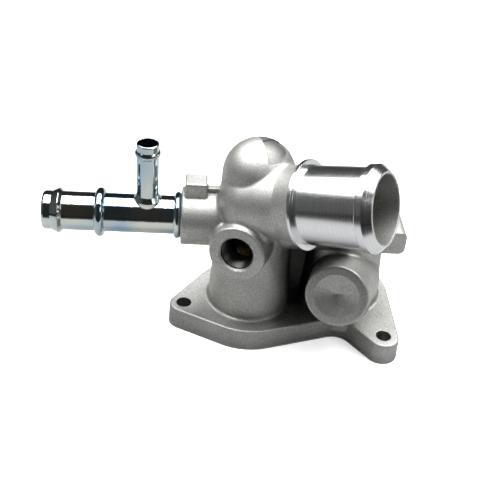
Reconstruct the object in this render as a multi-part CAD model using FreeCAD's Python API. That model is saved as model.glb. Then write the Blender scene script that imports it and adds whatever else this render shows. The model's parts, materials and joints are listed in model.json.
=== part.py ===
import FreeCAD, Part
import os
from math import asin, atan2, cos, hypot, pi, radians, sin, tan

# Thermostat housing: an aluminium casting on a three-eared flange.
# The tall left column holds the thermostat, the angled neck takes the radiator hose,
# and a plated steel pipe with a branch is pressed into the boss on the left.
# Millimetres. Origin on the left column's axis, at the flange's mating face, +Z up.

# Flange
FLANGE_T = 11.0
FLANGE_DRAFT_DEG = 2.0
FLANGE_EDGE_R = 0.9
BOLT_R = 3.65
LEFT_EAR = (-31.7, -8.0)
RIGHT_EAR = (63.7, -27.6)
BACK_EAR = (22.0, 36.0)
LEFT_EAR_R = 6.8
RIGHT_EAR_R = 7.5
LEFT_PAD_R = 28.3
RIGHT_PAD_R = 26.0
DIP = (41.6, -26.3)
DIP_R = 9.3

# Left column, which holds the thermostat
LEFT_R = 19.9
LEFT_H = 70.0
LEFT_DRAFT_DEG = 2.6
FOOT_R = 1.8
DOME_WALL = 2.6
DOME_STEP = 0.9
DOME_STEP_Z = 92.4
DOME_STEP_AZ_DEG = 12.0
DOME_STEP_WIDTH_DEG = 120.0

# Right column, the bypass chamber
RIGHT_AXIS = (45.1, 7.9)
RIGHT_R = 20.5
RIGHT_H = 52.0
RIGHT_DRAFT_DEG = 3.0
RIGHT_TOP_R = 6.0
RIGHT_WALL = 3.3
RIGHT_ROOF = 4.0

# Web between the columns
WEB_FRONT_Y = 3.0
WEB_T = 7.0

# Cross tube and the boss for the hose pipe
TUBE_Y = -0.8
TUBE_Z = 57.1
TUBE_R = 13.5
TUBE_END_X = -34.5
TUBE_EDGE_R = 1.2
PASSAGE_R = 7.6
PAD_X = (-33.0, -23.0)
PAD_HALF_W = 5.0
PAD_H = 6.4
PAD_EDGE_R = 1.0
RIB_T = 3.0
RIB_H = 2.6

# Right lug
LUG_END_X = 71.0
LUG_Y = (-8.0, 11.0)
LUG_Z = (45.0, 57.0)
LUG_CORNER_R = 3.0

# Neck for the radiator hose
NECK_FACE = (50.8, -36.5, 88.2)
NECK_AZ_DEG = 59.8
NECK_EL_DEG = 17.0
NECK_LEN = 63.3
NECK_CAST_R = 16.5
NECK_R = 17.5
NECK_TURNED_LEN = 35.0
COLLAR_R = 20.0
COLLAR_T = 1.6
FLARE_LEN = 9.0
FLARE_R = 18.6
BEAD_R = 19.0
BEAD_BACK = 7.1
BEAD_BAND = 3.6
BEAD_RISE = 0.5
RIM_R = 16.0
NECK_BORE_R = 14.9
NECK_BORE_LEN = 34.0
NECK_CORE_R = 13.2

# Sensor boss
SENSOR_FACE = (-9.25, -25.4, 53.6)
SENSOR_AZ_DEG = -19.8
SENSOR_EL_DEG = 6.0
SENSOR_BOSS_R = 13.1
SENSOR_BORE_R = 7.5
SENSOR_BORE_LEN = 14.0
SENSOR_CHAMFER = 1.1
SENSOR_EDGE_R = 1.0

# Blank boss, cast but not drilled
BLANK_FACE = (37.6, -30.0, 35.6)
BLANK_AZ_DEG = -18.0
BLANK_EL_DEG = 17.0
BLANK_R = 14.7
BLANK_DRAFT_DEG = 3.0
BLANK_DEPTH = 31.0
BLANK_EDGE_R = 1.2
SKIRT_BACK = 27.0
SKIRT_R = 14.0
DIMPLE_R = 10.5
DIMPLE_DEPTH = 4.0

# Hose pipe and its branch
PIPE_R = 9.0
PIPE_BORE_R = 7.4
PIPE_END_X = -97.5
PIPE_PRESS_DEPTH = 12.0
BARB_X = -90.1
BARB_R = 10.7
BARB_LEN = 5.0
RING_X = -71.6
RING_R = 11.4
RING_HALF = 2.2
STOP_R = 10.9
STOP_HALF = 1.6
BRANCH_X = -50.0
BRANCH_R = 5.0
BRANCH_BORE_R = 4.2
BRANCH_TOP = 37.3
BRANCH_BEAD_R = 5.8
BRANCH_BEAD_DROP = 5.0
BRANCH_BEAD_HALF = 1.6
BRANCH_SADDLE_R = 6.4
BRANCH_SADDLE_H = 2.2

# Thermostat seat in the left column
BORE_R = 16.2
UPPER_BORE_R = 14.2
SEAT_Z = 38.0
SEAL_GAP = 0.2
SEAL_T = 3.2
SEAL_LIP = 1.8
PLATE_T = 1.2
PLATE_RIM_R = 15.2
SNAP_T = 1.5
SNAP_INNER_R = 14.4
SNAP_DEPTH = 0.9
SNAP_GAP_DEG = 40.0
SEAT_OPEN_R = 9.8
FIT = 0.05

# Thermostat element
VALVE_R = 10.9
VALVE_T = 1.3
VALVE_LIFT = 8.0
OPEN_CAPSULE_Z = 4.0
SEATING_GAP = 0.1
HUB_R = 6.0
CAPSULE_R = 5.2
CAPSULE_END_Z = OPEN_CAPSULE_Z + VALVE_LIFT
CAPSULE_SHOULDER_R = 7.4
CAPSULE_SHOULDER_T = 1.6
PISTON_R = 1.8
PISTON_FIT = 0.06
PISTON_TOP_GAP = 1.2
BRIDGE_R = 12.7
BRIDGE_T = 1.2
BRIDGE_W = 6.0
BRIDGE_CUP_R = 3.2
BRIDGE_CUP_H = 5.0
CAGE_LEG_R = 13.6
CAGE_T = 1.0
CAGE_LEG_W = 6.0
CAGE_FLOOR_Z = 13.2
GUIDE_CLEAR = 0.08
SPRING_R = 9.2
SPRING_WIRE_R = 0.7
SPRING_HALF_TURNS = 9
WIRE_SIDES = 8
JIGGLE_R = 12.5
JIGGLE_PIN_R = 0.6
JIGGLE_HOLE_R = 0.9
JIGGLE_HEAD_R = 1.15
JIGGLE_HEAD_T = 0.8
JIGGLE_DROP = 3.0
JIGGLE_AZ_DEG = 45.0

# Fillets of the casting
NECK_BLEND_R = 2.5
SENSOR_BLEND_R = 2.0
PIPE_BOSS_BLEND_R = 2.0
BLANK_BLEND_R = 1.2
LUG_BLEND_R = 1.5
PAD_BLEND_R = 0.8

# Shortest edge that is rounded, and how near a skin an edge has to lie to be on it
SHORTEST_SEAM = 0.05
ON_SKIN = 0.001

DIAGONAL = cos(pi / 4)


def vec(x, y, z):
    return FreeCAD.Vector(x, y, z)


def aim(az_deg, el_deg):
    """Unit vector: azimuth from -Y towards +X, elevation above the flange."""
    az = radians(az_deg)
    el = radians(el_deg)
    return vec(sin(az) * cos(el), -cos(az) * cos(el), sin(el))


def turned(profile, base=(0.0, 0.0, 0.0), direction=(0.0, 0.0, 1.0), angle=360.0):
    """Solid of revolution. A profile point is (r, z), or (mid r, mid z, r, z) for an arc."""
    edges = []
    start = vec(profile[0][0], 0, profile[0][1])
    last = start
    for item in profile[1:] + profile[:1]:
        end = vec(item[-2], 0, item[-1])
        if len(item) == 4:
            middle = vec(item[0], 0, item[1])
            edges.append(Part.Arc(last, middle, end).toShape())
        elif last.distanceToPoint(end) > 1e-7:
            edges.append(Part.LineSegment(last, end).toShape())
        last = end
    face = Part.Face(Part.Wire(edges))
    solid = face.revolve(vec(0, 0, 0), vec(0, 0, 1), angle)
    return placed(solid, base, direction)


def placed(solid, base, direction):
    """Move a solid so that its own +Z runs along a direction from a base point."""
    turn = FreeCAD.Rotation(vec(0, 0, 1), vec(*direction))
    moved = solid.copy()
    moved.Placement = FreeCAD.Placement(vec(*base), turn)
    return moved


def rod(radius, length, base, direction):
    return Part.makeCylinder(radius, length, vec(*base), vec(*direction))


def blended(first, second, radius):
    """Join two solids and round the inside corner where they meet, as a casting is."""
    whole = first.fuse(second)
    skins = (Part.Compound(first.Faces), Part.Compound(second.Faces))
    seams = []
    for edge in whole.Edges:
        if edge.Length > SHORTEST_SEAM:
            middle = Part.Vertex(edge.valueAt((edge.FirstParameter + edge.LastParameter) / 2))
            if all(middle.distToShape(skin)[0] < ON_SKIN for skin in skins):
                seams.append(edge)
    return whole.makeFillet(radius, seams)


def corner_arc(centre_r, centre_z, radius, sign_r, sign_z):
    """Middle point of a quarter arc that bulges towards the given signs."""
    return (centre_r + sign_r * radius * DIAGONAL, centre_z + sign_z * radius * DIAGONAL)


def belt(discs, grow, z):
    """Closed wire round a ring of discs (x, y, signed radius); a negative one is hollow."""
    count = len(discs)
    headings = []
    for i in range(count):
        ax, ay, ar = discs[i]
        bx, by, br = discs[(i + 1) % count]
        gap = hypot(bx - ax, by - ay)
        headings.append(atan2(by - ay, bx - ax) - asin((br - ar) / gap))
    edges = []
    for i in range(count):
        x, y, r = discs[i]
        r += grow
        arrive = headings[i - 1]
        leave = headings[i]
        turn = (leave - arrive + pi) % (2 * pi) - pi
        touch = []
        for heading in (arrive, arrive + turn / 2, arrive + turn):
            touch.append(vec(x + sin(heading) * r, y - cos(heading) * r, z))
        edges.append(Part.Arc(touch[0], touch[1], touch[2]).toShape())
        nx, ny, nr = discs[(i + 1) % count]
        nr += grow
        target = vec(nx + sin(leave) * nr, ny - cos(leave) * nr, z)
        edges.append(Part.LineSegment(touch[2], target).toShape())
    return Part.Wire(edges)


def flange():
    discs = [
        LEFT_EAR + (LEFT_EAR_R,),
        (0.0, 0.0, LEFT_PAD_R),
        DIP + (-DIP_R,),
        RIGHT_EAR + (RIGHT_EAR_R,),
        RIGHT_AXIS + (RIGHT_PAD_R,),
        BACK_EAR + (RIGHT_EAR_R,),
        (0.0, 0.0, LEFT_PAD_R),
    ]
    spread = FLANGE_T * tan(radians(FLANGE_DRAFT_DEG))
    plate = Part.makeLoft([belt(discs, spread, 0.0), belt(discs, 0.0, FLANGE_T)], True, True)
    rim = [e for e in plate.Edges if e.BoundBox.ZMin > FLANGE_T - 1e-4]
    return plate.makeFillet(FLANGE_EDGE_R, rim)


def left_column():
    top_r = LEFT_R - LEFT_H * tan(radians(LEFT_DRAFT_DEG))
    top_z = FLANGE_T + LEFT_H
    foot = corner_arc(LEFT_R + FOOT_R, FLANGE_T + FOOT_R, FOOT_R, -1, -1)
    return turned([
        (0.0, FLANGE_T / 2),
        (LEFT_R + FOOT_R, FLANGE_T / 2),
        (LEFT_R + FOOT_R, FLANGE_T),
        foot + (LEFT_R, FLANGE_T + FOOT_R),
        (top_r, top_z),
        corner_arc(0.0, top_z, top_r, 1, 1) + (0.0, top_z + top_r),
    ])


def dome_step():
    """Shallow step left on the dome by the mould's core: a crease, and a set-back face beside it."""
    top_z = FLANGE_T + LEFT_H
    outer_r = LEFT_R - LEFT_H * tan(radians(LEFT_DRAFT_DEG))
    inner_r = outer_r - DOME_STEP
    shell = turned([
        (inner_r, DOME_STEP_Z - FLANGE_T),
        (outer_r + 1.0, DOME_STEP_Z - FLANGE_T),
        (outer_r + 1.0, top_z + outer_r + 1.0),
        (0.0, top_z + outer_r + 1.0),
        (0.0, top_z + inner_r),
        corner_arc(0.0, top_z, inner_r, 1, 1) + (inner_r, top_z),
    ], angle=DOME_STEP_WIDTH_DEG)
    shell = shell.common(Part.makeBox(200, 200, 200, vec(-100, -100, DOME_STEP_Z)))
    shell.rotate(vec(0, 0, 0), vec(0, 0, 1), DOME_STEP_AZ_DEG - 90)
    return shell


def right_column():
    top_r = RIGHT_R - RIGHT_H * tan(radians(RIGHT_DRAFT_DEG))
    top_z = FLANGE_T + RIGHT_H
    foot = corner_arc(RIGHT_R + FOOT_R, FLANGE_T + FOOT_R, FOOT_R, -1, -1)
    shoulder = corner_arc(top_r - RIGHT_TOP_R, top_z - RIGHT_TOP_R, RIGHT_TOP_R, 1, 1)
    return turned([
        (0.0, FLANGE_T / 2),
        (RIGHT_R + FOOT_R, FLANGE_T / 2),
        (RIGHT_R + FOOT_R, FLANGE_T),
        foot + (RIGHT_R, FLANGE_T + FOOT_R),
        (top_r, top_z - RIGHT_TOP_R),
        shoulder + (top_r - RIGHT_TOP_R, top_z),
        (0.0, top_z),
    ], RIGHT_AXIS + (0.0,))


def web():
    return Part.makeBox(RIGHT_AXIS[0], WEB_T, TUBE_Z - FLANGE_T / 2, vec(0, WEB_FRONT_Y, FLANGE_T / 2))


def pipe_boss():
    """Left end of the cross tube, from its rounded mouth to the left column's axis."""
    edge = corner_arc(TUBE_R - TUBE_EDGE_R, TUBE_EDGE_R, TUBE_EDGE_R, 1, -1)
    return turned([
        (0.0, 0.0),
        (TUBE_R - TUBE_EDGE_R, 0.0),
        edge + (TUBE_R, TUBE_EDGE_R),
        (TUBE_R, -TUBE_END_X),
        (0.0, -TUBE_END_X),
    ], (TUBE_END_X, TUBE_Y, TUBE_Z), (1, 0, 0))


def cross_tube():
    return rod(TUBE_R, RIGHT_AXIS[0], (0.0, TUBE_Y, TUBE_Z), (1, 0, 0))


def pipe_pad():
    """Square pad on top of the pipe boss, with the rib that runs from it to the column."""
    top = TUBE_Z + TUBE_R + PAD_H
    corner = vec(PAD_X[0], TUBE_Y - PAD_HALF_W, TUBE_Z)
    block = Part.makeBox(PAD_X[1] - PAD_X[0], 2 * PAD_HALF_W, top - TUBE_Z, corner)
    sharp = [e for e in block.Edges if e.BoundBox.ZMax > top - 1e-4]
    block = block.makeFillet(PAD_EDGE_R, sharp)
    rib = Part.makeBox(-PAD_X[1], RIB_T, TUBE_R + RIB_H, vec(PAD_X[1], TUBE_Y - RIB_T / 2, TUBE_Z))
    return [block, rib]


def right_lug():
    start = RIGHT_AXIS[0]
    size = (LUG_END_X - start, LUG_Y[1] - LUG_Y[0], LUG_Z[1] - LUG_Z[0])
    block = Part.makeBox(size[0], size[1], size[2], vec(start, LUG_Y[0], LUG_Z[0]))
    end = [e.BoundBox.XMin > LUG_END_X - 1e-4 and e.BoundBox.ZLength < 1e-4 for e in block.Edges]
    corners = [e for e, at_end in zip(block.Edges, end) if at_end]
    return block.makeFillet(LUG_CORNER_R, corners)


def neck_frame():
    """Start point on the elbow, at the neck's inner end, and the neck's direction."""
    direction = aim(NECK_AZ_DEG, NECK_EL_DEG)
    base = vec(*NECK_FACE) - direction * NECK_LEN
    return base, direction


def neck():
    base, direction = neck_frame()
    collar = NECK_LEN - NECK_TURNED_LEN
    bead = NECK_LEN - BEAD_BACK
    chamfer = bead + BEAD_BAND
    return turned([
        (0.0, -NECK_CAST_R),
        corner_arc(0.0, 0.0, NECK_CAST_R, 1, -1) + (NECK_CAST_R, 0.0),
        (NECK_CAST_R, collar - COLLAR_T - FLARE_LEN),
        (FLARE_R, collar - COLLAR_T),
        (COLLAR_R, collar - COLLAR_T),
        (COLLAR_R, collar),
        (NECK_R, collar),
        (NECK_R, bead),
        (BEAD_R, bead + BEAD_RISE),
        (BEAD_R, chamfer),
        (RIM_R, NECK_LEN),
        (0.0, NECK_LEN),
    ], base, direction)


def sensor_boss():
    direction = aim(SENSOR_AZ_DEG, SENSOR_EL_DEG)
    reach = hypot(SENSOR_FACE[0], SENSOR_FACE[1])
    base = vec(*SENSOR_FACE) - direction * reach
    edge = corner_arc(SENSOR_BOSS_R - SENSOR_EDGE_R, reach - SENSOR_EDGE_R, SENSOR_EDGE_R, 1, 1)
    return turned([
        (0.0, 0.0),
        (SENSOR_BOSS_R, 0.0),
        (SENSOR_BOSS_R, reach - SENSOR_EDGE_R),
        edge + (SENSOR_BOSS_R - SENSOR_EDGE_R, reach),
        (0.0, reach),
    ], base, direction)


def sensor_hole():
    direction = aim(SENSOR_AZ_DEG, SENSOR_EL_DEG)
    base = vec(*SENSOR_FACE) - direction * SENSOR_BORE_LEN
    mouth = SENSOR_BORE_R + SENSOR_CHAMFER
    return turned([
        (0.0, 0.0),
        (SENSOR_BORE_R, 0.0),
        (SENSOR_BORE_R, SENSOR_BORE_LEN - SENSOR_CHAMFER),
        (mouth, SENSOR_BORE_LEN),
        (mouth, SENSOR_BORE_LEN + 1.0),
        (0.0, SENSOR_BORE_LEN + 1.0),
    ], base, direction)


def blank_boss():
    direction = aim(BLANK_AZ_DEG, BLANK_EL_DEG)
    base = vec(*BLANK_FACE) - direction * BLANK_DEPTH
    root_r = BLANK_R + BLANK_DEPTH * tan(radians(BLANK_DRAFT_DEG))
    edge = corner_arc(BLANK_R - BLANK_EDGE_R, BLANK_DEPTH - BLANK_EDGE_R, BLANK_EDGE_R, 1, 1)
    return turned([
        (0.0, 0.0),
        (root_r, 0.0),
        (BLANK_R, BLANK_DEPTH - BLANK_EDGE_R),
        edge + (BLANK_R - BLANK_EDGE_R, BLANK_DEPTH),
        (DIMPLE_R, BLANK_DEPTH),
        (0.0, BLANK_DEPTH - DIMPLE_DEPTH),
    ], base, direction)


def blank_skirt():
    """Foot under the blank boss: it runs down to the flange and widens into the right column."""
    direction = aim(BLANK_AZ_DEG, BLANK_EL_DEG)
    nose = vec(*BLANK_FACE) - direction * SKIRT_BACK
    slope = tan(radians(BLANK_DRAFT_DEG))
    discs = [(nose.x, nose.y, SKIRT_R), RIGHT_AXIS + (RIGHT_R,)]
    height = nose.z - FLANGE_T / 2
    low = belt(discs, 0.0, FLANGE_T / 2)
    high = belt(discs, -height * slope, nose.z)
    return Part.makeLoft([low, high], True, True)


def left_chamber():
    """Space inside the left column: thermostat bore, snap ring groove and domed top."""
    top_z = FLANGE_T + LEFT_H
    top_r = LEFT_R - LEFT_H * tan(radians(LEFT_DRAFT_DEG)) - DOME_WALL
    groove_top = SEAT_Z - SEAL_T
    groove_low = groove_top - SNAP_T - 2 * FIT
    groove_r = BORE_R + SNAP_DEPTH
    return turned([
        (0.0, -1.0),
        (BORE_R, -1.0),
        (BORE_R, groove_low),
        (groove_r, groove_low),
        (groove_r, groove_top),
        (BORE_R, groove_top),
        (BORE_R, SEAT_Z),
        (UPPER_BORE_R, SEAT_Z),
        (top_r, top_z),
        corner_arc(0.0, top_z, top_r, 1, 1) + (0.0, top_z + top_r),
    ])


def right_chamber():
    slope = tan(radians(RIGHT_DRAFT_DEG))
    top_z = FLANGE_T + RIGHT_H - RIGHT_ROOF
    low_r = RIGHT_R - RIGHT_WALL
    top_r = low_r - (top_z - FLANGE_T) * slope
    return turned([
        (0.0, -1.0),
        (low_r, -1.0),
        (low_r, FLANGE_T),
        (top_r, top_z),
        (0.0, top_z),
    ], RIGHT_AXIS + (0.0,))


def neck_bore():
    base, direction = neck_frame()
    step = NECK_LEN - NECK_BORE_LEN
    return turned([
        (0.0, -NECK_CORE_R),
        corner_arc(0.0, 0.0, NECK_CORE_R, 1, -1) + (NECK_CORE_R, 0.0),
        (NECK_CORE_R, step),
        (NECK_BORE_R, step),
        (NECK_BORE_R, NECK_LEN + 1.0),
        (0.0, NECK_LEN + 1.0),
    ], base, direction)


def pipe_bores():
    """Press seat for the hose pipe, and the passage through to the right chamber."""
    start = (TUBE_END_X - 1.0, TUBE_Y, TUBE_Z)
    seat = rod(PIPE_R + FIT, 1.0 + PIPE_PRESS_DEPTH, start, (1, 0, 0))
    passage = rod(PASSAGE_R, RIGHT_AXIS[0] - start[0], start, (1, 0, 0))
    return [seat, passage]


def bolt_holes():
    holes = []
    for x, y in (LEFT_EAR, RIGHT_EAR, BACK_EAR):
        holes.append(rod(BOLT_R, FLANGE_T + 2.0, (x, y, -1.0), (0, 0, 1)))
    return holes


def cast_housing():
    left = blended(left_column(), neck(), NECK_BLEND_R)
    left = blended(left, sensor_boss(), SENSOR_BLEND_R)
    left = blended(left, pipe_boss(), PIPE_BOSS_BLEND_R)
    right = blended(right_column(), blank_boss(), BLANK_BLEND_R)
    body = left.fuse(cross_tube()).fuse(right)
    body = blended(body, right_lug(), LUG_BLEND_R)
    for pad in pipe_pad():
        body = blended(body, pad, PAD_BLEND_R)
    for solid in (web(), blank_skirt(), flange()):
        body = body.fuse(solid)
    body = body.removeSplitter()
    cuts = [dome_step(), left_chamber(), right_chamber(), neck_bore(), sensor_hole()]
    cuts += pipe_bores()
    cuts += bolt_holes()
    for cut in cuts:
        body = body.cut(cut)
    return body


def hose_pipe():
    """Plated steel pipe with a hose barb, a ring bead and a stop bead against the casting."""
    end = TUBE_END_X + PIPE_PRESS_DEPTH
    stop = TUBE_END_X - STOP_HALF
    outer = [
        (PIPE_BORE_R, 0.0),
        (PIPE_R - 0.5, 0.0),
        (PIPE_R, 1.0),
        (PIPE_R, BARB_X - BARB_LEN + 1.5 - PIPE_END_X),
        (BARB_R, BARB_X - PIPE_END_X),
        (PIPE_R, BARB_X + 1.6 - PIPE_END_X),
        (PIPE_R, RING_X - RING_HALF - PIPE_END_X),
        (RING_R, RING_X - PIPE_END_X, PIPE_R, RING_X + RING_HALF - PIPE_END_X),
        (PIPE_R, stop - STOP_HALF - PIPE_END_X),
        (STOP_R, stop - PIPE_END_X, PIPE_R, stop + STOP_HALF - PIPE_END_X),
        (PIPE_R, end - PIPE_END_X),
        (PIPE_BORE_R, end - PIPE_END_X),
    ]
    pipe = turned(outer, (PIPE_END_X, TUBE_Y, TUBE_Z), (1, 0, 0))
    window = rod(BRANCH_BORE_R, PIPE_R + 1.0, (BRANCH_X, TUBE_Y, TUBE_Z), (0, 0, 1))
    return pipe.cut(window)


def branch_tube():
    """Small vertical tube brazed on the hose pipe, with a hose bead near its mouth."""
    bead = BRANCH_TOP - BRANCH_BEAD_DROP
    tube = turned([
        (BRANCH_BORE_R, 0.0),
        (BRANCH_SADDLE_R, 0.0),
        (BRANCH_SADDLE_R, PIPE_R),
        (BRANCH_R, PIPE_R + BRANCH_SADDLE_H),
        (BRANCH_R, bead - BRANCH_BEAD_HALF),
        (BRANCH_BEAD_R, bead, BRANCH_R, bead + BRANCH_BEAD_HALF),
        (BRANCH_R, BRANCH_TOP - 0.4),
        (BRANCH_R - 0.4, BRANCH_TOP),
        (BRANCH_BORE_R, BRANCH_TOP),
    ], (BRANCH_X, TUBE_Y, TUBE_Z))
    start = (BRANCH_X - 2 * PIPE_R, TUBE_Y, TUBE_Z)
    return tube.cut(rod(PIPE_R + FIT, 4 * PIPE_R, start, (1, 0, 0)))


def plate_top():
    """Height of the seat plate's top face, half way up the seal."""
    return SEAT_Z - SEAL_T / 2 + PLATE_T / 2


def seat_seal():
    """Rubber ring that grips the seat plate's rim and seals under the bore's shoulder."""
    low = SEAT_Z - SEAL_T
    outer = BORE_R - SEAL_GAP
    inner = outer - SEAL_LIP
    groove_low = plate_top() - PLATE_T
    return turned([
        (inner, low),
        (outer, low),
        (outer, SEAT_Z),
        (inner, SEAT_Z),
        (inner, plate_top()),
        (PLATE_RIM_R + FIT, plate_top()),
        (PLATE_RIM_R + FIT, groove_low),
        (inner, groove_low),
    ])


def retaining_ring():
    """Open snap ring in the bore's groove, under the seal."""
    low = SEAT_Z - SEAL_T - SNAP_T - FIT
    outer = BORE_R + SNAP_DEPTH - FIT
    ring = turned([
        (SNAP_INNER_R, low),
        (outer, low),
        (outer, low + SNAP_T),
        (SNAP_INNER_R, low + SNAP_T),
    ], angle=360.0 - SNAP_GAP_DEG)
    ring.rotate(vec(0, 0, 0), vec(0, 0, 1), SNAP_GAP_DEG / 2)
    return ring


def jiggle_place():
    az = radians(JIGGLE_AZ_DEG)
    return JIGGLE_R * cos(az), JIGGLE_R * sin(az)


def seat_plate():
    low = plate_top() - PLATE_T
    plate = turned([
        (SEAT_OPEN_R, low),
        (PLATE_RIM_R, low),
        (PLATE_RIM_R, plate_top()),
        (SEAT_OPEN_R + PLATE_T, plate_top()),
        (SEAT_OPEN_R, plate_top() + PLATE_T / 2),
    ])
    x, y = jiggle_place()
    return plate.cut(rod(JIGGLE_HOLE_R, PLATE_T + 2.0, (x, y, low - 1.0), (0, 0, 1)))


def bridge_low():
    """Underside of the cup in the middle of the bridge."""
    return plate_top() + BRIDGE_R - BRIDGE_CUP_H


def top_bridge():
    """Arched strip over the valve opening, with the cup that holds the piston."""
    z = plate_top()
    outer = BRIDGE_R
    inner = BRIDGE_R - BRIDGE_T
    edges = [
        Part.Arc(vec(outer, 0, z), vec(0, 0, z + outer), vec(-outer, 0, z)).toShape(),
        Part.LineSegment(vec(-outer, 0, z), vec(-inner, 0, z)).toShape(),
        Part.Arc(vec(-inner, 0, z), vec(0, 0, z + inner), vec(inner, 0, z)).toShape(),
        Part.LineSegment(vec(inner, 0, z), vec(outer, 0, z)).toShape(),
    ]
    strip = Part.Face(Part.Wire(edges)).extrude(vec(0, BRIDGE_W, 0))
    strip.translate(vec(0, -BRIDGE_W / 2, 0))
    cup = rod(BRIDGE_CUP_R, BRIDGE_CUP_H, (0, 0, bridge_low()), (0, 0, 1))
    hole = rod(PISTON_R + FIT, BRIDGE_CUP_H - PISTON_TOP_GAP, (0, 0, bridge_low()), (0, 0, 1))
    return strip.fuse(cup).cut(hole).removeSplitter()


def piston():
    top = bridge_low() + BRIDGE_CUP_H - PISTON_TOP_GAP - FIT
    return rod(PISTON_R, top - piston_end(), (0, 0, piston_end()), (0, 0, 1))


def piston_end():
    """Lower end of the piston inside the capsule, clear of the bottom of its bore."""
    return CAPSULE_END_Z + 2 * CAPSULE_R


def valve_top():
    return plate_top() - PLATE_T - SEATING_GAP


def valve_low():
    return valve_top() - VALVE_T


def main_valve():
    """Dished disc that closes the seat opening from below."""
    return turned([
        (HUB_R + FIT, valve_low()),
        (VALVE_R, valve_low()),
        (VALVE_R, valve_top()),
        (HUB_R + FIT, valve_top()),
    ])


def wax_capsule():
    """Brass capsule: wax pot, shoulder under the valve disc, hub and guide for the piston."""
    shoulder_top = valve_low()
    shoulder_low = shoulder_top - CAPSULE_SHOULDER_T
    bore_r = PISTON_R + PISTON_FIT
    hub_top = valve_top() + VALVE_T
    round_r = CAPSULE_R / 4
    return turned([
        (0.0, CAPSULE_END_Z),
        (CAPSULE_R - round_r, CAPSULE_END_Z),
        corner_arc(CAPSULE_R - round_r, CAPSULE_END_Z + round_r, round_r, 1, -1)
        + (CAPSULE_R, CAPSULE_END_Z + round_r),
        (CAPSULE_R, shoulder_low),
        (CAPSULE_SHOULDER_R, shoulder_low),
        (CAPSULE_SHOULDER_R, shoulder_top),
        (HUB_R, shoulder_top),
        (HUB_R, hub_top),
        (bore_r, hub_top),
        (bore_r, piston_end() - PISTON_TOP_GAP),
        (0.0, piston_end() - PISTON_TOP_GAP),
    ])


def lower_cage():
    """Pressed frame that hangs from the seat plate, carries the spring and guides the capsule."""
    low = CAGE_FLOOR_Z
    top = plate_top() - PLATE_T
    floor = turned([
        (CAPSULE_R + GUIDE_CLEAR, low),
        (CAGE_LEG_R, low),
        (CAGE_LEG_R, low + CAGE_T),
        (CAPSULE_R + GUIDE_CLEAR, low + CAGE_T),
    ])
    ring = turned([
        (CAGE_LEG_R - CAGE_T, low),
        (CAGE_LEG_R, low),
        (CAGE_LEG_R, top),
        (CAGE_LEG_R - CAGE_T, top),
    ])
    reach = 2 * CAGE_LEG_R
    across = Part.makeBox(reach, CAGE_LEG_W, top, vec(-CAGE_LEG_R, -CAGE_LEG_W / 2, 0))
    along = Part.makeBox(CAGE_LEG_W, reach, top, vec(-CAGE_LEG_W / 2, -CAGE_LEG_R, 0))
    arms = across.fuse(along)
    legs = ring.common(arms)
    cross = arms.fuse(rod(SPRING_R + 2.0, top, (0, 0, 0), (0, 0, 1)))
    return floor.common(cross).fuse(legs).removeSplitter()


def main_spring():
    """Round wire coil between the cage's floor and the valve disc's rim, in tilted half turns."""
    low = CAGE_FLOOR_Z + CAGE_T + FIT + SPRING_WIRE_R
    top = valve_low() - FIT - SPRING_WIRE_R
    rise = (top - low) / SPRING_HALF_TURNS
    halves = []
    for i in range(SPRING_HALF_TURNS):
        side = 1 if i % 2 == 0 else -1
        z = low + i * rise
        corners = []
        for k in range(WIRE_SIDES + 1):
            angle = 2 * pi * k / WIRE_SIDES
            x = side * SPRING_R + SPRING_WIRE_R * cos(angle)
            corners.append(vec(x, 0, z + SPRING_WIRE_R * sin(angle)))
        disc = Part.Face(Part.makePolygon(corners))
        axis = vec(side * rise / 2, 0, SPRING_R)
        halves.append(disc.revolve(vec(0, 0, z + rise / 2), axis, 180))
    return halves[0].multiFuse(halves[1:])


def jiggle_pin():
    """Loose vent pin in the seat plate."""
    x, y = jiggle_place()
    top = plate_top()
    low = top - PLATE_T - JIGGLE_DROP
    return turned([
        (0.0, low),
        (JIGGLE_HEAD_R, low + JIGGLE_HEAD_T),
        (JIGGLE_PIN_R, low + 2 * JIGGLE_HEAD_T),
        (JIGGLE_PIN_R, top),
        (JIGGLE_HEAD_R, top),
        (JIGGLE_HEAD_R, top + JIGGLE_HEAD_T),
        (0.0, top + JIGGLE_HEAD_T),
    ], (x, y, 0.0))


PIECES = (
    cast_housing,
    hose_pipe,
    branch_tube,
    seat_plate,
    seat_seal,
    retaining_ring,
    top_bridge,
    piston,
    main_valve,
    wax_capsule,
    lower_cage,
    main_spring,
    jiggle_pin,
)

os.makedirs("parts", exist_ok=True)
for piece in PIECES:
    shape = piece()
    print(piece.__name__, len(shape.Solids), shape.isValid(), round(shape.Volume, 1))
    shape.exportStep("parts/" + piece.__name__ + ".step")
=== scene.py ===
import json
from math import cos, pi, radians, sin

import bpy
from bpy.props import FloatProperty, FloatVectorProperty, PointerProperty
from mathutils import Matrix, Vector


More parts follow.
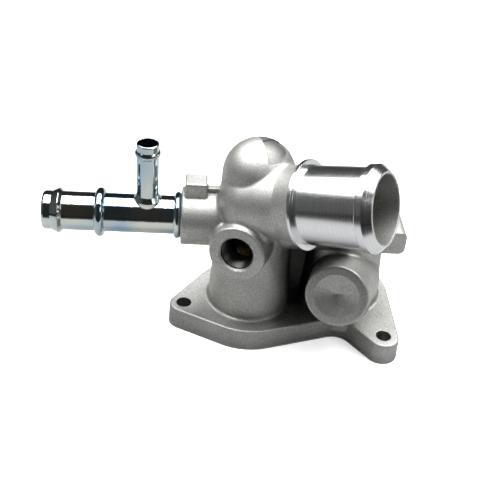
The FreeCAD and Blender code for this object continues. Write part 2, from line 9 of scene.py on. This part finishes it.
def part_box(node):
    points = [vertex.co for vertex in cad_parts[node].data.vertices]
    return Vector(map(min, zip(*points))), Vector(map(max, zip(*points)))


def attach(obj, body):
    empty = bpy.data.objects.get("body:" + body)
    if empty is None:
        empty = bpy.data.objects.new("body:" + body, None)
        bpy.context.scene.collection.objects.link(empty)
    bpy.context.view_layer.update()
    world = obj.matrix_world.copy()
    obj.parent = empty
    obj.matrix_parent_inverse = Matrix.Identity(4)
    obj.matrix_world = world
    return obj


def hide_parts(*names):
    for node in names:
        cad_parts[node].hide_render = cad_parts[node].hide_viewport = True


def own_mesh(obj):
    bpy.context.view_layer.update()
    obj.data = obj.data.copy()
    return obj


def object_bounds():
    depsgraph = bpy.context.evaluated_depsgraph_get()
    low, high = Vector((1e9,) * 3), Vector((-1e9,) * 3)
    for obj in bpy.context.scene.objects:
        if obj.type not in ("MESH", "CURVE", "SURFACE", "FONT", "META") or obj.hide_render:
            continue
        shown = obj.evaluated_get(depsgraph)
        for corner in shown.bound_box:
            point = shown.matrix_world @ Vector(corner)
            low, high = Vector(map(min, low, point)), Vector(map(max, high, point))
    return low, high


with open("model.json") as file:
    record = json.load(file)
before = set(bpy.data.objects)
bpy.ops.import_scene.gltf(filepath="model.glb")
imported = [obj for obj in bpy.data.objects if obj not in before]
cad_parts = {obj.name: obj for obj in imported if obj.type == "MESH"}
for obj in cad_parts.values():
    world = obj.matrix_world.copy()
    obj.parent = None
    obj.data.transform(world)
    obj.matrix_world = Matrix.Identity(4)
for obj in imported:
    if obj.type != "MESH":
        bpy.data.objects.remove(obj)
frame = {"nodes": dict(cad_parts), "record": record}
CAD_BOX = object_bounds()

bl_info = {
    "name": "Thermostat housing looks",
    "version": (1, 0, 0),
    "blender": (4, 5, 0),
    "location": "View3D > Sidebar > Housing",
    "description": "Finishes, studio and camera for a cast thermostat housing",
    "category": "Object",
}

MM = 0.001
BODY = "housing"

# Camera that was worked out from the outlines of the round parts, in the part's frame.
CAMERA_PLACE_MM = (-29.2, -329.1, 277.2)
CAMERA_AZIMUTH_DEG = 3.99
CAMERA_DOWN_DEG = 35.28
CAMERA_ROLL_DEG = 4.67
CAMERA_LENS_MM = 63.75
CAMERA_SENSOR_MM = 36.0

# Where the neck is turned: its axis, and the stretch from the collar's back to the mouth.
MOUNTS = {mount["name"]: mount for mount in frame["record"]["mounts"]}
NECK_BORE = MOUNTS["neck_bore"]
NECK_AXIS = Vector(NECK_BORE["axis"])
COLLAR_TO_BORE_MIDDLE = 19.6 * MM
TURNED_START = Vector(NECK_BORE["pos_m"]) - NECK_AXIS * COLLAR_TO_BORE_MIDDLE
TURNED_INNER = 15.3 * MM
TURNED_OUTER = 21.0 * MM

# How near the mating face a point counts as on it
FACE_DEPTH = 0.05 * MM

# Thread in the sensor boss: its foot lies just inside the wall of the hole
SENSOR_HOLE = MOUNTS["sensor_port"]
THREAD_ROOT = 7.56 * MM
THREAD_CREST = 6.95 * MM
THREAD_PITCH = 1.5 * MM
THREAD_TURNS = 7
THREAD_STEPS = 48

# Section of the thread's ridge: radius, and place along the hole in pitches
THREAD_SECTION = ((THREAD_ROOT, -0.48), (THREAD_CREST, -0.06), (THREAD_CREST, 0.06), (THREAD_ROOT, 0.48))

# Painted shade on the wall of the sensor hole: its radius, and how far from the mount's place it reaches
HOLE_RADIUS = THREAD_ROOT + 0.1 * MM
HOLE_REACH = 12.0 * MM

# Spring of the valve: its wire's radius, its turns, the steps of each turn and the sides of the wire
SPRING_WIRE_RADIUS = 0.7 * MM
SPRING_TURNS = 4.5
SPRING_STEPS = 48
SPRING_WIRE_SIDES = 12

# Painted shade in the deep gap between the columns: its middle, how far it reaches each way, and the share
# that is fully dark
GAP_MIDDLE = (0.0225, 0.0, 0.033)
GAP_HALF = (0.013, 0.014, 0.03)
GAP_CORE = 0.6

# Openings of the mating face: the middles of the inlet and of the bypass, and how wide the table is open
INLET_MIDDLE = tuple(MOUNTS["coolant_inlet"]["pos_m"])
BYPASS_MIDDLE = (0.0451, 0.0079, 0.0)
OPENING_REACH = 20.0 * MM

# Set-back face on the dome, which gets painted shade: heading of its crease, its lower end and its radius
CREASE = radians(12.0)
FACET_LOW = 92.3 * MM
FACET_RADIUS = 16.6 * MM

# Grain of the casting: bead dents, unevenness of the mould, and the rings of the lathe
GRIT_SIZE = 0.6 * MM
GRIT_DEPTH = 0.05 * MM
MOULD_SIZE = 12.0 * MM
RING_SIZE = 0.35 * MM
RING_DEPTH = 0.003 * MM
CORNER_REACH = 12.0 * MM

# How strongly each painted shade darkens the casting
FACET_SHADE = 0.7
GAP_SHADE = 0.85
HOLE_SHADE = 0.9

# Cosine between the rounded and the true normal, where an edge starts to show and where it shows fully
EDGE_START = 0.995
EDGE_FULL = 0.9

# Grain of the zinc plate, and of the rubber
FILM_SIZE = 25.0 * MM
WAVE_SIZE = 1.5 * MM
WAVE_DEPTH = 0.03 * MM
BLOOM_SIZE = 1.5 * MM

# White table: its width, its drop under the part, its front edge's soft width, and its shade past that edge
FLOOR_SIZE = 8.0
FLOOR_DROP = 0.02 * MM
TABLE_SOFTNESS = 0.03
PAST_TABLE = 0.03

# A ray shorter than this comes from the mating face
TOUCHING = 1.0 * MM

# The camera sees the table glow, from this strength near the part to full white far from it
GLOW_START = 0.55
GLOW_NEAR = 0.2
GLOW_FAR = 0.7

# Directions, as the share that points sideways or up, where the room's sides and its light below set in
SIDES_START = 0.5
SIDES_FULL = 0.95
BELOW_START = -0.1
BELOW_FULL = -0.5

OVERHEAD_PLACE = (0.0, 0.11, 0.69)
SIDE_LAMP_PLACE = (0.55, -0.4, 0.5)
SIDE_LAMP_SIZE = (0.3, 0.3)

# Vector maths that gives a number
NUMBER_RESULTS = ("DOT_PRODUCT", "LENGTH", "DISTANCE")


def linear(hex_colour):
    """sRGB hex value to the linear colour that Blender's sockets hold."""
    channels = [int(hex_colour[i:i + 2], 16) / 255 for i in (1, 3, 5)]
    return tuple(c / 12.92 if c <= 0.04045 else ((c + 0.055) / 1.055) ** 2.4 for c in channels)


def rgba(colour):
    return tuple(colour) + (1.0,)


def add_node(material, kind, links=None, **settings):
    """Add one node: settings are its own values, links are the values or sockets of its inputs."""
    tree = material.node_tree
    node = tree.nodes.new(kind)
    for name, value in settings.items():
        setattr(node, name, value)
    for socket, source in (links or {}).items():
        if isinstance(source, (int, float, tuple)):
            node.inputs[socket].default_value = source
        else:
            tree.links.new(source, node.inputs[socket])
    return node


def new_material(name):
    material = bpy.data.materials.new(name)
    material.use_nodes = True
    material.node_tree.nodes.clear()
    return material


def finish_material(material, shader):
    """Join the shader to the material's output."""
    add_node(material, "ShaderNodeOutputMaterial", {"Surface": shader.outputs[0]})
    return material


def finish_metal(material, colour, roughness, normal):
    """Bare metal with the given surface."""
    shader = add_node(material, "ShaderNodeBsdfPrincipled", {
        "Base Color": colour, "Metallic": 1.0, "Roughness": roughness, "Normal": normal,
    })
    return finish_material(material, shader)


def mix_colour(material, factor, first, second):
    return add_node(material, "ShaderNodeMix", {0: factor, 6: first, 7: second}, data_type="RGBA").outputs[2]


def mix_value(material, factor, first, second):
    return add_node(material, "ShaderNodeMix", {0: factor, 2: first, 3: second}, data_type="FLOAT").outputs[0]


def mapped(material, value, low, high, to_low, to_high):
    node = add_node(material, "ShaderNodeMapRange", {
        0: value, 1: low, 2: high, 3: to_low, 4: to_high,
    })
    return node.outputs[0]


def maths(material, operation, *values):
    """Output of one maths node; its values are numbers or sockets."""
    return add_node(material, "ShaderNodeMath", dict(enumerate(values)), operation=operation).outputs[0]


def vector_maths(material, operation, *values):
    """Output of one vector maths node; its values are vectors or sockets."""
    node = add_node(material, "ShaderNodeVectorMath", dict(enumerate(values)), operation=operation)
    return node.outputs["Value" if operation in NUMBER_RESULTS else "Vector"]


def object_place(material):
    """Place on the piece, in metres of the part's frame."""
    return add_node(material, "ShaderNodeTexCoord").outputs["Object"]


def noise(material, place, size, detail=2.0):
    """Uneven value round a half, in spots of about the given size."""
    node = add_node(material, "ShaderNodeTexNoise", {"Vector": place, "Scale": 1 / size, "Detail": detail})
    return node.outputs[0]


def rounded_edges(material, look):
    """Normal that makes sharp edges look rounded."""
    return add_node(material, "ShaderNodeBevel", {"Radius": look.edge_round * MM}, samples=6).outputs[0]


def turned_mask(material, place):
    """1 where the neck's end and the mating face are machined, and the place along the neck's axis."""
    offset = vector_maths(material, "SUBTRACT", place, tuple(TURNED_START))
    along = vector_maths(material, "DOT_PRODUCT", offset, tuple(NECK_AXIS))
    axis = add_node(material, "ShaderNodeVectorMath", {0: tuple(NECK_AXIS), "Scale": along},
                    operation="SCALE")
    radial = vector_maths(material, "DISTANCE", offset, axis.outputs[0])
    past = maths(material, "GREATER_THAN", along, 0.0)
    outside = maths(material, "GREATER_THAN", radial, TURNED_INNER)
    near = maths(material, "LESS_THAN", radial, TURNED_OUTER)
    neck = maths(material, "MULTIPLY", maths(material, "MULTIPLY", past, outside), near)
    height = add_node(material, "ShaderNodeSeparateXYZ", {0: place}).outputs["Z"]
    under = maths(material, "LESS_THAN", height, CAD_BOX[0][2] + FACE_DEPTH)
    return maths(material, "MAXIMUM", neck, under), along


def facet_mask(material, place):
    """1 on the set-back face of the dome, right of its crease and above its lower end."""
    sides = vector_maths(material, "DOT_PRODUCT", place, (cos(CREASE), sin(CREASE), 0.0))
    apart = add_node(material, "ShaderNodeSeparateXYZ", {0: place})
    flat = add_node(material, "ShaderNodeCombineXYZ", {"X": apart.outputs["X"], "Y": apart.outputs["Y"]})
    out = vector_maths(material, "LENGTH", flat.outputs[0])
    right = maths(material, "GREATER_THAN", sides, 0.0)
    above = maths(material, "GREATER_THAN", apart.outputs["Z"], FACET_LOW)
    near = maths(material, "LESS_THAN", out, FACET_RADIUS)
    return maths(material, "MULTIPLY", maths(material, "MULTIPLY", right, above), near)


def gap_mask(material, place):
    """Rises to 1 in the deep gap between the columns, between the flange and the cross tube."""
    apart = vector_maths(material, "SUBTRACT", place, GAP_MIDDLE)
    away = vector_maths(material, "LENGTH", vector_maths(material, "DIVIDE", apart, GAP_HALF))
    return mapped(material, away, GAP_CORE, 1.0, 1.0, 0.0)


def hole_mask(material, place):
    """1 inside the sensor hole, behind its chamfer."""
    offset = vector_maths(material, "SUBTRACT", place, tuple(SENSOR_HOLE["pos_m"]))
    radial = vector_maths(material, "LENGTH",
                          vector_maths(material, "CROSS_PRODUCT", offset, tuple(SENSOR_HOLE["axis"])))
    reach = vector_maths(material, "LENGTH", offset)
    return maths(material, "MULTIPLY", maths(material, "LESS_THAN", radial, HOLE_RADIUS),
                 maths(material, "LESS_THAN", reach, HOLE_REACH))


def edge_mask(material, rounded):
    """Near 1 along edges, where the rounded normal leaves the true one."""
    true = add_node(material, "ShaderNodeNewGeometry").outputs["Normal"]
    same = vector_maths(material, "DOT_PRODUCT", rounded, true)
    return mapped(material, same, EDGE_START, EDGE_FULL, 0.0, 1.0)


def darkened(material, grey, mask, share, dark):
    """The colour, darkened by a share where the mask is 1."""
    return mix_colour(material, maths(material, "MULTIPLY", mask, share), grey, rgba(dark))


def cast_aluminium(look):
    """As-cast aluminium silicon alloy, bead blasted, with the neck and the mating face machined."""
    material = new_material("cast aluminium, bead blasted")
    place = object_place(material)
    turned, along = turned_mask(material, place)
    rounded = rounded_edges(material, look)
    # Dents of the blasting beads, 0.6 mm across, give the skin its fine even grain.
    grit = noise(material, place, GRIT_SIZE)
    # Slow unevenness of the mould, 12 mm across, keeps wide faces from looking flat.
    skin = noise(material, place, MOULD_SIZE, detail=1.0)
    # Lathe feed of 0.1 mm, drawn at 0.35 mm so that it shows, gives fine rings.
    feed = maths(material, "MULTIPLY", along, 1 / RING_SIZE)
    rings = add_node(material, "ShaderNodeTexNoise", {"W": feed, "Scale": 1.0, "Detail": 1.0},
                     noise_dimensions="1D").outputs[0]
    uneven = maths(material, "MULTIPLY_ADD", skin, 0.35, grit)
    grey = mix_colour(material, mapped(material, uneven, 0.45, 0.9, 0.0, 1.0),
                      rgba(look.casting_shade), rgba(look.casting))
    # Painted highlight: along the edges, which the beads polish, short near-white streaks stand in for the
    # light they catch.
    edge_glints = maths(material, "MULTIPLY", edge_mask(material, rounded),
                   mapped(material, grit, 0.4, 0.6, 0.1, 0.9))
    grey = mix_colour(material, edge_glints, grey, rgba(look.casting_edge_highlight))
    # Painted shade: where the ambient occlusion finds the inner corners closed in, the colour is darkened.
    open_sky = add_node(material, "ShaderNodeAmbientOcclusion", {"Distance": CORNER_REACH}, samples=8)
    grey = mix_colour(material, mapped(material, open_sky.outputs["AO"], 0.1, 0.8, look.corner_painted_shade, 0.0),
                      grey, rgba(look.casting_painted_shade))
    # Painted shade: the dome's set-back face is darkened towards the painted shade colour.
    grey = darkened(material, grey, facet_mask(material, place), FACET_SHADE, look.casting_painted_shade)
    # Painted shade: the deep gap between the columns is darkened towards near black.
    grey = darkened(material, grey, gap_mask(material, place), GAP_SHADE, look.hole)
    # Painted shade: the wall inside the threaded hole is darkened towards near black.
    grey = darkened(material, grey, hole_mask(material, place), HOLE_SHADE, look.hole)
    ring_grey = mix_colour(material, mapped(material, rings, 0.3, 0.7, 0.0, 1.0),
                           rgba(look.turned_shade), rgba(look.turned))
    colour = mix_colour(material, turned, grey, ring_grey)
    rough_cast = mapped(material, grit, 0.3, 0.7, 0.6, 0.46)
    rough_ring = mapped(material, rings, 0.3, 0.7, 0.15, 0.24)
    bump = add_node(material, "ShaderNodeBump", {
        "Height": mix_value(material, turned, grit, rings),
        "Distance": mapped(material, turned, 0.0, 1.0, GRIT_DEPTH, RING_DEPTH),
        "Normal": rounded,
    })
    rough = mix_value(material, turned, rough_cast, rough_ring)
    return finish_metal(material, colour, rough, bump.outputs[0])


def zinc_plated_steel(look):
    """Mild steel tube, zinc electroplated and blue passivated."""
    material = new_material("bright zinc plate, blue passivated")
    place = object_place(material)
    # The passivation film varies in thickness over 25 mm, which gives faint yellow tints.
    film = noise(material, place, FILM_SIZE, detail=1.0)
    tint = mix_colour(material, mapped(material, film, 0.45, 0.7, 0.0, 1.0),
                      rgba(look.zinc), rgba(look.zinc_warm))
    # Drawn tube has shallow waves of about 1.5 mm under the plate, which ripple the reflections.
    wave = noise(material, place, WAVE_SIZE)
    bump = add_node(material, "ShaderNodeBump", {
        "Height": wave, "Distance": WAVE_DEPTH, "Normal": rounded_edges(material, look),
    })
    return finish_metal(material, tint, 0.09, bump.outputs[0])


def plain_metal(name, colour, roughness, grain_mm, depth_mm):
    """A metal with a fine grain of its own, for the thread and the pieces of the thermostat inside."""
    material = new_material(name)
    grain = noise(material, object_place(material), grain_mm * MM)
    rough = mapped(material, grain, 0.3, 0.7, roughness * 0.8, roughness * 1.2)
    bump = add_node(material, "ShaderNodeBump", {"Height": grain, "Distance": depth_mm * MM})
    return finish_metal(material, rgba(colour), rough, bump.outputs[0])


def black_rubber(look):
    """Moulded nitrile rubber: near black, with a dull bloom."""
    material = new_material("nitrile rubber, moulded")
    bloom = noise(material, object_place(material), BLOOM_SIZE)
    colour = mix_colour(material, mapped(material, bloom, 0.4, 0.7, 0.0, 0.4),
                        rgba(look.rubber), rgba(look.rubber_bloom))
    shader = add_node(material, "ShaderNodeBsdfPrincipled", {"Base Color": colour, "Roughness": 0.7})
    return finish_material(material, shader)


def colour_property(name, description, hex_colour):
    return FloatVectorProperty(name=name, description=description, subtype="COLOR",
                               default=linear(hex_colour), min=0.0, max=1.0)


class HousingLook(bpy.types.PropertyGroup):
    casting: colour_property("Casting", "Light grains of the blasted casting", "#C8C8C5")
    casting_shade: colour_property("Casting shade", "Dark grains of the blasted casting", "#A2A29F")
    # Painted highlight: near-white colour of the glints along the casting's polished edges
    casting_edge_highlight: colour_property("Casting edge", "Edges polished by the beads", "#F6F6F4")
    # Painted shade: dark colour for the inner corners, the dome's set-back face and the thread
    casting_painted_shade: colour_property("Casting corner", "Inner corners of the casting", "#5E5E5C")
    # How strongly painted shade darkens the inner corners
    corner_painted_shade: FloatProperty(name="Corner shade", description="How strongly inner corners darken",
                               default=0.55, min=0.0, max=1.0, subtype="FACTOR")
    # Painted shade: near-black colour put in the sensor hole and in the deep gap between the columns
    hole: colour_property("Sensor hole", "Oily wall of the threaded hole", "#1E1E1E")
    turned: colour_property("Turned neck", "Lathe-turned aluminium", "#EDEEEF")
    turned_shade: colour_property("Turned neck shade", "Darker rings of the turned neck", "#D2D3D5")
    zinc: colour_property("Zinc plate", "Blue passivated zinc", "#93B0C4")
    zinc_warm: colour_property("Zinc film", "Where the passivation film looks warm", "#DAD9CC")
    rubber: colour_property("Rubber", "Seal rubber", "#161616")
    rubber_bloom: colour_property("Rubber bloom", "Dull bloom on the rubber", "#2A2A29")
    steel: colour_property("Steel", "Pressed stainless sheet", "#C9C6C0")
    spring: colour_property("Spring wire", "Oiled spring wire", "#8A8A8C")
    brass: colour_property("Brass", "Turned brass", "#D9B36A")
    edge_round: FloatProperty(name="Edge rounding", description="How far edges look rounded, in millimetres",
                              default=0.5, min=0.0, max=3.0)


class HousingStudio(bpy.types.PropertyGroup):
    floor: colour_property("Floor", "Pale studio floor", "#F4F4F4")
    bounce: FloatProperty(name="Bounce", description="Share of the floor's light that reaches the metal",
                          default=0.4, min=0.0, max=1.0, subtype="FACTOR")
    below: FloatProperty(name="Below", description="Light from under the table, for views from below",
                         default=0.5, min=0.0)
    side_lamp: FloatProperty(name="Side lamp", description="Power of the small lamp at the front right",
                             default=0.7, min=0.0, subtype="POWER", unit="POWER")
    room: FloatProperty(name="Room", description="Light of the dark room, in front and behind", default=0.03,
                        min=0.0)
    sides: FloatProperty(name="Sides", description="Light of the room's two sides", default=0.12, min=0.0)
    overhead: FloatProperty(name="Overhead lamp", description="Power of the large soft box above",
                            default=20.0, min=0.0, subtype="POWER", unit="POWER")
    overhead_width: FloatProperty(name="Overhead width", description="Width of the soft box",
                                  default=1.3, min=0.01, subtype="DISTANCE", unit="LENGTH")
    overhead_depth: FloatProperty(name="Overhead depth", description="Depth of the soft box, front to back",
                                  default=0.66, min=0.01, subtype="DISTANCE", unit="LENGTH")
    table_edge: FloatProperty(name="Table edge", description="How far in front the white table ends",
                              default=0.2, min=0.0, subtype="DISTANCE", unit="LENGTH")


def dress(node_names, material):
    for name in node_names:
        slots = frame["nodes"][name].data.materials
        slots.clear()
        slots.append(material)


def nodes_of(slot):
    """Names of the CAD nodes that take a material slot of the record."""
    return [part["node"] for part in frame["record"]["subparts"] if part["material_slot"] == slot]


class HOUSING_OT_casting(bpy.types.Operator):
    """Give the casting its blasted skin and its turned neck"""
    bl_idname = "housing.casting"
    bl_label = "Casting"

    def execute(self, context):
        dress(nodes_of("cast_aluminium"), cast_aluminium(context.scene.housing_look))
        return {"FINISHED"}


class HOUSING_OT_thread(bpy.types.Operator):
    """Cut the thread into the sensor boss"""
    bl_idname = "housing.thread"
    bl_label = "Sensor thread"

    def execute(self, context):
        thread = make_thread("sensor_thread")
        # A fresh cut is smooth; its dark colour is painted shade for the depth of the hole.
        thread.data.materials.append(plain_metal(
            "aluminium, cut thread", context.scene.housing_look.casting_painted_shade,
            roughness=0.35, grain_mm=0.3, depth_mm=0.005))
        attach(thread, BODY)
        return {"FINISHED"}


def make_thread(name):
    """One closed ridge that winds round the hole, with its foot just inside the wall."""
    rows = THREAD_TURNS * THREAD_STEPS + 1
    points = []
    for i in range(rows):
        turn = 2 * pi * i / THREAD_STEPS
        middle = (i / THREAD_STEPS - THREAD_TURNS / 2) * THREAD_PITCH
        for radius, shift in THREAD_SECTION:
            points.append((radius * cos(turn), radius * sin(turn), middle + shift * THREAD_PITCH))
    faces = [(3, 2, 1, 0), tuple(4 * (rows - 1) + k for k in range(4))]
    for i in range(rows - 1):
        for k in range(4):
            faces.append((4 * i + k, 4 * i + (k + 1) % 4, 4 * i + 4 + (k + 1) % 4, 4 * i + 4 + k))
    mesh = bpy.data.meshes.new(name)
    mesh.from_pydata(points, [], faces)
    thread = bpy.data.objects.new(name, mesh)
    bpy.context.scene.collection.objects.link(thread)
    thread.location = SENSOR_HOLE["pos_m"]
    thread.rotation_mode = "QUATERNION"
    thread.rotation_quaternion = Vector(SENSOR_HOLE["axis"]).to_track_quat("Z", "Y")
    return thread


class HOUSING_OT_spring(bpy.types.Operator):
    """Wind the round wire of the valve's spring"""
    bl_idname = "housing.spring"
    bl_label = "Valve spring"

    def execute(self, context):
        low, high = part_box("main_spring")
        spring = make_spring("valve_spring", low, high)
        # Oiled wire has a soft dark gloss.
        spring.data.materials.append(plain_metal(
            "spring wire, oiled", context.scene.housing_look.spring,
            roughness=0.35, grain_mm=0.8, depth_mm=0.01))
        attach(spring, BODY)
        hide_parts("main_spring")
        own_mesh(spring)
        return {"FINISHED"}


def make_spring(name, low, high):
    """Tube round a helix that fills the height of the CAD spring."""
    coil_radius = (high[0] - low[0]) / 2 - SPRING_WIRE_RADIUS
    bottom = low[2] + SPRING_WIRE_RADIUS
    rise = high[2] - low[2] - 2 * SPRING_WIRE_RADIUS
    rows = int(SPRING_TURNS * SPRING_STEPS) + 1
    sides = SPRING_WIRE_SIDES
    points = []
    for i in range(rows):
        turn = 2 * pi * i / SPRING_STEPS
        out = Vector((cos(turn), sin(turn), 0.0))
        along = Vector((-sin(turn), cos(turn), rise / (2 * pi * SPRING_TURNS * coil_radius))).normalized()
        up = out.cross(along)
        centre = out * coil_radius + Vector((0.0, 0.0, bottom + rise * i / (rows - 1)))
        for k in range(sides):
            angle = 2 * pi * k / sides
            points.append(centre + (out * cos(angle) + up * sin(angle)) * SPRING_WIRE_RADIUS)
    faces = [tuple(range(sides)), tuple(reversed(range(sides * (rows - 1), sides * rows)))]
    for i in range(rows - 1):
        for k in range(sides):
            a, b = sides * i + k, sides * i + (k + 1) % sides
            faces.append((a, a + sides, b + sides, b))
    mesh = bpy.data.meshes.new(name)
    mesh.from_pydata(points, [], faces)
    mesh.shade_smooth()
    spring = bpy.data.objects.new(name, mesh)
    bpy.context.scene.collection.objects.link(spring)
    return spring


class HOUSING_OT_pipes(bpy.types.Operator):
    """Plate the hose pipe and its branch"""
    bl_idname = "housing.pipes"
    bl_label = "Pipes"

    def execute(self, context):
        dress(nodes_of("zinc_plated_steel"), zinc_plated_steel(context.scene.housing_look))
        return {"FINISHED"}


class HOUSING_OT_element(bpy.types.Operator):
    """Finish the thermostat inside the column"""
    bl_idname = "housing.element"
    bl_label = "Thermostat"

    def execute(self, context):
        look = context.scene.housing_look
        # Cold-rolled sheet keeps a fine satin grain.
        dress(nodes_of("stainless_steel"), plain_metal(
            "stainless sheet, pressed", look.steel, roughness=0.3, grain_mm=0.6, depth_mm=0.01))
        # Turned brass is bright, with a fine feed.
        dress(nodes_of("brass"), plain_metal(
            "brass, turned", look.brass, roughness=0.25, grain_mm=0.4, depth_mm=0.008))
        dress(nodes_of("black_rubber"), black_rubber(look))
        return {"FINISHED"}


class HOUSING_OT_stage(bpy.types.Operator):
    """Add the pale floor, the soft light and the camera"""
    bl_idname = "housing.stage"
    bl_label = "Studio"

    def execute(self, context):
        studio = context.scene.housing_studio
        make_floor(studio)
        make_world(context.scene, studio)
        soft_box = (studio.overhead_width, studio.overhead_depth)
        make_lamp("overhead_lamp", OVERHEAD_PLACE, soft_box, studio.overhead)
        make_lamp("side_lamp", SIDE_LAMP_PLACE, SIDE_LAMP_SIZE, studio.side_lamp)
        make_camera(context.scene)
        context.scene.view_settings.view_transform = "Standard"
        return {"FINISHED"}


def under_opening(material, place, middle):
    """1 on the table right under one opening of the mating face."""
    return maths(material, "LESS_THAN", vector_maths(material, "DISTANCE", place, middle), OPENING_REACH)


def make_floor(studio):
    """White table: it throws light up into the metal, and its front edge gives that light an end."""
    bpy.ops.mesh.primitive_plane_add(size=FLOOR_SIZE, location=(0, 0, CAD_BOX[0][2] - FLOOR_DROP))
    floor = bpy.context.object
    floor.name = "floor"
    material = new_material("matt white paper, seamless")
    path = add_node(material, "ShaderNodeLightPath")
    seen = path.outputs["Is Camera Ray"]
    geometry = add_node(material, "ShaderNodeNewGeometry")
    place = geometry.outputs["Position"]
    depth = add_node(material, "ShaderNodeSeparateXYZ", {0: place}).outputs["Y"]
    lit = mapped(material, depth, -studio.table_edge - TABLE_SOFTNESS, -studio.table_edge + TABLE_SOFTNESS,
                 PAST_TABLE, studio.bounce)
    shown = maths(material, "MAXIMUM", lit, seen)
    colour = mix_colour(material, shown, (0.0, 0.0, 0.0, 1.0), rgba(studio.floor))
    paper = add_node(material, "ShaderNodeBsdfDiffuse", {"Color": colour})
    away = vector_maths(material, "LENGTH", place)
    shine = mapped(material, away, GLOW_NEAR, GLOW_FAR, GLOW_START, 1.0)
    glow = add_node(material, "ShaderNodeEmission", {
        "Color": (1.0, 1.0, 1.0, 1.0), "Strength": maths(material, "MULTIPLY", seen, shine),
    })
    both = add_node(material, "ShaderNodeAddShader", {0: paper.outputs[0], 1: glow.outputs[0]})
    # From below, the table is left out, and it is open right under the mating face and its openings.
    # The part covers all of that from above, and the thermostat can be looked at from below.
    touching = maths(material, "LESS_THAN", path.outputs["Ray Length"], TOUCHING)
    openings = maths(material, "MAXIMUM", under_opening(material, place, INLET_MIDDLE),
                     under_opening(material, place, BYPASS_MIDDLE))
    left_out = maths(material, "MAXIMUM", geometry.outputs["Backfacing"],
                     maths(material, "MAXIMUM", touching, openings))
    clear = add_node(material, "ShaderNodeBsdfTransparent")
    sheet = add_node(material, "ShaderNodeMixShader", {0: left_out, 1: both.outputs[0], 2: clear.outputs[0]})
    floor.data.materials.append(finish_material(material, sheet))


def make_world(scene, studio):
    """White to the eye; to the metal, a dark room with paler sides and some light from below."""
    world = bpy.data.worlds.new("studio")
    world.use_nodes = True
    world.node_tree.nodes.clear()
    scene.world = world
    place = add_node(world, "ShaderNodeTexCoord").outputs["Generated"]
    heading = add_node(world, "ShaderNodeSeparateXYZ", {0: place})
    across = maths(world, "ABSOLUTE", heading.outputs["X"])
    around = mapped(world, across, SIDES_START, SIDES_FULL, studio.room, studio.sides)
    below = mapped(world, heading.outputs["Z"], BELOW_START, BELOW_FULL, 0.0, studio.below)
    light = maths(world, "ADD", around, below)
    seen = add_node(world, "ShaderNodeLightPath").outputs["Is Camera Ray"]
    shine = add_node(world, "ShaderNodeBackground", {
        "Color": (1.0, 1.0, 1.0, 1.0), "Strength": mix_value(world, seen, light, 1.0),
    })
    add_node(world, "ShaderNodeOutputWorld", {"Surface": shine.outputs[0]})


def make_lamp(name, place, size, power):
    data = bpy.data.lights.new(name, "AREA")
    data.shape = "RECTANGLE"
    data.size, data.size_y = size
    data.energy = power
    lamp = bpy.data.objects.new(name, data)
    lamp.location = place
    lamp.rotation_euler = (-Vector(place)).to_track_quat("-Z", "Y").to_euler()
    bpy.context.scene.collection.objects.link(lamp)


def make_camera(scene):
    data = bpy.data.cameras.new("camera")
    data.lens = CAMERA_LENS_MM
    data.sensor_width = CAMERA_SENSOR_MM
    data.clip_start = 0.01
    camera = bpy.data.objects.new("camera", data)
    turn = (
        Matrix.Rotation(radians(-CAMERA_AZIMUTH_DEG), 4, "Z")
        @ Matrix.Rotation(radians(90 - CAMERA_DOWN_DEG), 4, "X")
        @ Matrix.Rotation(radians(CAMERA_ROLL_DEG), 4, "Z")
    )
    camera.matrix_world = Matrix.Translation(Vector(CAMERA_PLACE_MM) * MM) @ turn
    scene.collection.objects.link(camera)
    scene.camera = camera


class HOUSING_PT_panel(bpy.types.Panel):
    """Steps of the housing's looks"""
    bl_label = "Thermostat housing"
    bl_idname = "HOUSING_PT_panel"
    bl_space_type = "VIEW_3D"
    bl_region_type = "UI"
    bl_category = "Housing"

    def draw(self, context):
        for step in STEPS:
            self.layout.operator(step.bl_idname)


STEPS = (
    HOUSING_OT_casting,
    HOUSING_OT_thread,
    HOUSING_OT_spring,
    HOUSING_OT_pipes,
    HOUSING_OT_element,
    HOUSING_OT_stage,
)
CLASSES = (HousingLook, HousingStudio) + STEPS + (HOUSING_PT_panel,)


def register():
    for one in CLASSES:
        bpy.utils.register_class(one)
    bpy.types.Scene.housing_look = PointerProperty(type=HousingLook)
    bpy.types.Scene.housing_studio = PointerProperty(type=HousingStudio)


def unregister():
    del bpy.types.Scene.housing_studio
    del bpy.types.Scene.housing_look
    for one in reversed(CLASSES):
        bpy.utils.unregister_class(one)


def main():
    register()
    bpy.ops.housing.casting()
    bpy.ops.housing.thread()
    bpy.ops.housing.spring()
    bpy.ops.housing.pipes()
    bpy.ops.housing.element()
    bpy.ops.housing.stage()


if __name__ == "__main__":
    main()
